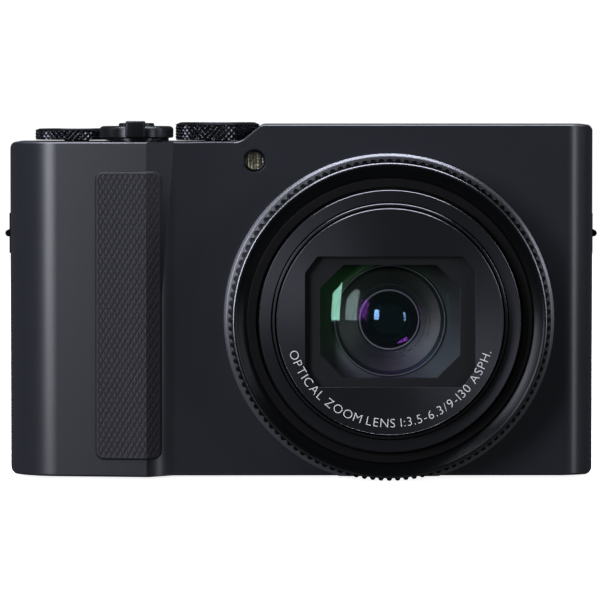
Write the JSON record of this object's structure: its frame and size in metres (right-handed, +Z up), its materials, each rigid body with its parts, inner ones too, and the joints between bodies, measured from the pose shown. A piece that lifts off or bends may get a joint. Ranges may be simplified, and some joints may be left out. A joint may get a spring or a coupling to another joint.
{
  "type": "compact digital camera",
  "caption": "Slim pocket camera with a retracting zoom lens inside a turning control ring, a ridged rubber grip, top dials, pop-up flash, eye-level finder and rear screen.",
  "frame": {"origin": "centre of the bounding box at its bottom, under the lowest tooth of the control ring", "axes": "+X to the right of the front view, along the width; -Y out of the lens; +Z up"},
  "size_m": [0.1128, 0.0452, 0.0676],
  "materials": {
    "coated_metal": "fine matte black coating",
    "grip_rubber": "textured matte",
    "black_aluminium": "black anodised, finely turned",
    "black_plastic": "moulded satin",
    "button_plastic": "satin",
    "steel": "brushed",
    "circuit_board": "solder mask",
    "coated_glass": "multi-coated, polished",
    "screen_glass": "polished",
    "inner_plastic": "moulded"
  },
  "bodies": {
    "camera_body": {"front_cover": "coated_metal", "rear_cover": "coated_metal", "top_cover": "coated_metal", "bottom_cover": "coated_metal", "grip_pad": "grip_rubber", "thumb_pad": "grip_rubber", "lens_flange": "coated_metal", "lens_housing": "black_plastic", "image_sensor": "coated_glass", "guide_rods": "steel", "chassis_frame": "steel", "main_board": "circuit_board", "switch_boards": "circuit_board", "battery": "inner_plastic", "memory_card": "inner_plastic", "lcd_module": "inner_plastic", "lcd_glass": "screen_glass", "eyecup": "grip_rubber", "eyepiece_lens": "coated_glass", "focus_lamp": "coated_glass", "strap_lugs": "steel", "tripod_socket": "steel", "port_sockets": "steel", "case_screws": "steel", "zoom_motor": "steel", "flash_bracket": "steel"},
    "control_ring": {"control_ring": "black_aluminium"},
    "outer_barrel": {"outer_barrel": "black_aluminium"},
    "middle_barrel": {"middle_barrel": "black_aluminium", "shutter_unit": "black_plastic"},
    "front_barrel": {"front_barrel": "black_aluminium", "name_ring": "black_aluminium", "lens_baffle": "black_plastic", "front_lens": "coated_glass", "inner_lens": "coated_glass"},
    "rear_lens_group": {"rear_lens_group": "black_plastic"},
    "upper_blade": {"upper_blade": "black_plastic"},
    "upper_rear_blade": {"upper_rear_blade": "black_plastic"},
    "lower_blade": {"lower_blade": "black_plastic"},
    "lower_rear_blade": {"lower_rear_blade": "black_plastic"},
    "zoom_lever": {"zoom_lever": "black_aluminium"},
    "shutter_button": {"shutter_button": "button_plastic"},
    "mode_dial": {"mode_dial": "black_aluminium"},
    "rear_dial": {"rear_dial": "black_aluminium"},
    "power_switch": {"power_switch": "black_plastic"},
    "movie_button": {"movie_button": "button_plastic"},
    "flash_head": {"flash_head": "coated_metal"},
    "flash_arm": {"flash_arm": "steel"},
    "flash_switch": {"flash_switch": "black_plastic"},
    "diopter_dial": {"diopter_dial": "black_aluminium"},
    "finder_button": {"finder_button": "button_plastic"},
    "play_button": {"play_button": "button_plastic"},
    "function_button": {"function_button": "button_plastic"},
    "delete_button": {"delete_button": "button_plastic"},
    "display_button": {"display_button": "button_plastic"},
    "four_way_pad": {"four_way_pad": "black_plastic"},
    "set_button": {"set_button": "button_plastic"},
    "battery_door": {"battery_door": "coated_metal"},
    "door_latch": {"door_latch": "black_plastic"},
    "terminal_door": {"terminal_door": "black_plastic"}
  },
  "joints": [
    {"name": "control_ring_turn", "type": "hinge", "parent": "camera_body", "child": "control_ring", "pos_m": [0.0166, 0, 0.0303], "axis": [0, -1, 0], "continuous": true},
    {"name": "outer_barrel_slide", "type": "slide", "parent": "camera_body", "child": "outer_barrel", "axis": [0, -1, 0], "range_m": [0, 0.018]},
    {"name": "middle_barrel_slide", "type": "slide", "parent": "outer_barrel", "child": "middle_barrel", "axis": [0, -1, 0], "range_m": [0, 0.018]},
    {"name": "front_barrel_slide", "type": "slide", "parent": "middle_barrel", "child": "front_barrel", "axis": [0, -1, 0], "range_m": [0, 0.018]},
    {"name": "focus_slide", "type": "slide", "parent": "camera_body", "child": "rear_lens_group", "axis": [0, -1, 0], "range_m": [0, 0.0036]},
    {"name": "upper_blade_slide", "type": "slide", "parent": "front_barrel", "child": "upper_blade", "axis": [0, 0, -1], "range_m": [0, 0.0124]},
    {"name": "upper_rear_blade_slide", "type": "slide", "parent": "front_barrel", "child": "upper_rear_blade", "axis": [0, 0, -1], "range_m": [0, 0.0085]},
    {"name": "lower_blade_slide", "type": "slide", "parent": "front_barrel", "child": "lower_blade", "axis": [0, 0, 1], "range_m": [0, 0.0124]},
    {"name": "lower_rear_blade_slide", "type": "slide", "parent": "front_barrel", "child": "lower_rear_blade", "axis": [0, 0, 1], "range_m": [0, 0.0085]},
    {"name": "zoom_lever_turn", "type": "hinge", "parent": "camera_body", "child": "zoom_lever", "pos_m": [-0.0312, -0.0045, 0.065], "axis": [0, 0, 1], "range_deg": [-20, 20], "stiffness_Nm_per_rad": 0.03},
    {"name": "shutter_press", "type": "slide", "parent": "camera_body", "child": "shutter_button", "axis": [0, 0, -1], "range_m": [0, 0.0008], "stiffness_N_per_m": 1500},
    {"name": "mode_dial_turn", "type": "hinge", "parent": "camera_body", "child": "mode_dial", "pos_m": [-0.01595, 0.0035, 0.066], "axis": [0, 0, 1], "continuous": true},
    {"name": "rear_dial_turn", "type": "hinge", "parent": "camera_body", "child": "rear_dial", "pos_m": [-0.0432, 0.0099, 0.065], "axis": [0, 0, 1], "continuous": true},
    {"name": "power_slide", "type": "slide", "parent": "camera_body", "child": "power_switch", "axis": [1, 0, 0], "range_m": [0, 0.0025]},
    {"name": "movie_press", "type": "slide", "parent": "camera_body", "child": "movie_button", "axis": [0, 0, -1], "range_m": [0, 0.0005], "stiffness_N_per_m": 1500},
    {"name": "flash_arm_lift", "type": "hinge", "parent": "camera_body", "child": "flash_arm", "pos_m": [0.014, 0.008, 0.05965], "axis": [-1, 0, 0], "range_deg": [0, 75]},
    {"name": "flash_head_level", "type": "hinge", "parent": "flash_arm", "child": "flash_head", "pos_m": [0.014, -0.001, 0.05965], "axis": [-1, 0, 0], "range_deg": [-75, 0]},
    {"name": "flash_switch_slide", "type": "slide", "parent": "camera_body", "child": "flash_switch", "axis": [1, 0, 0], "range_m": [0, 0.002], "stiffness_N_per_m": 300},
    {"name": "diopter_turn", "type": "hinge", "parent": "camera_body", "child": "diopter_dial", "pos_m": [0.0293, 0.0198, 0.0615], "axis": [0, -1, 0], "range_deg": [-150, 150]},
    {"name": "finder_press", "type": "slide", "parent": "camera_body", "child": "finder_button", "axis": [0, -1, 0], "range_m": [0, 0.0004], "stiffness_N_per_m": 1500},
    {"name": "play_press", "type": "slide", "parent": "camera_body", "child": "play_button", "axis": [0, -1, 0], "range_m": [0, 0.0004], "stiffness_N_per_m": 1500},
    {"name": "function_press", "type": "slide", "parent": "camera_body", "child": "function_button", "axis": [0, -1, 0], "range_m": [0, 0.0004], "stiffness_N_per_m": 1500},
    {"name": "delete_press", "type": "slide", "parent": "camera_body", "child": "delete_button", "axis": [0, -1, 0], "range_m": [0, 0.0004], "stiffness_N_per_m": 1500},
    {"name": "display_press", "type": "slide", "parent": "camera_body", "child": "display_button", "axis": [0, -1, 0], "range_m": [0, 0.0004], "stiffness_N_per_m": 1500},
    {"name": "four_way_press", "type": "slide", "parent": "camera_body", "child": "four_way_pad", "axis": [0, -1, 0], "range_m": [0, 0.0005], "stiffness_N_per_m": 2000},
    {"name": "set_press", "type": "slide", "parent": "camera_body", "child": "set_button", "axis": [0, -1, 0], "range_m": [0, 0.0004], "stiffness_N_per_m": 1500},
    {"name": "battery_door_swing", "type": "hinge", "parent": "camera_body", "child": "battery_door", "pos_m": [-0.0169, 0.0025, 0.00165], "axis": [0, -1, 0], "range_deg": [0, 90]},
    {"name": "door_latch_slide", "type": "slide", "parent": "battery_door", "child": "door_latch", "axis": [-1, 0, 0], "range_m": [0, 0.0012]},
    {"name": "terminal_door_swing", "type": "hinge", "parent": "camera_body", "child": "terminal_door", "pos_m": [-0.0545, 0.0098, 0.029], "axis": [0, 0, 1], "range_deg": [0, 100]}
  ],
  "couplings": [
    {"joint": "middle_barrel_slide", "follows": "outer_barrel_slide", "ratio": 1},
    {"joint": "front_barrel_slide", "follows": "outer_barrel_slide", "ratio": 1},
    {"joint": "focus_slide", "follows": "outer_barrel_slide", "ratio": 0.2},
    {"joint": "upper_rear_blade_slide", "follows": "upper_blade_slide", "ratio": 0.6855},
    {"joint": "lower_blade_slide", "follows": "upper_blade_slide", "ratio": 1},
    {"joint": "lower_rear_blade_slide", "follows": "upper_blade_slide", "ratio": 0.6855},
    {"joint": "flash_head_level", "follows": "flash_arm_lift", "ratio": -1}
  ]
}
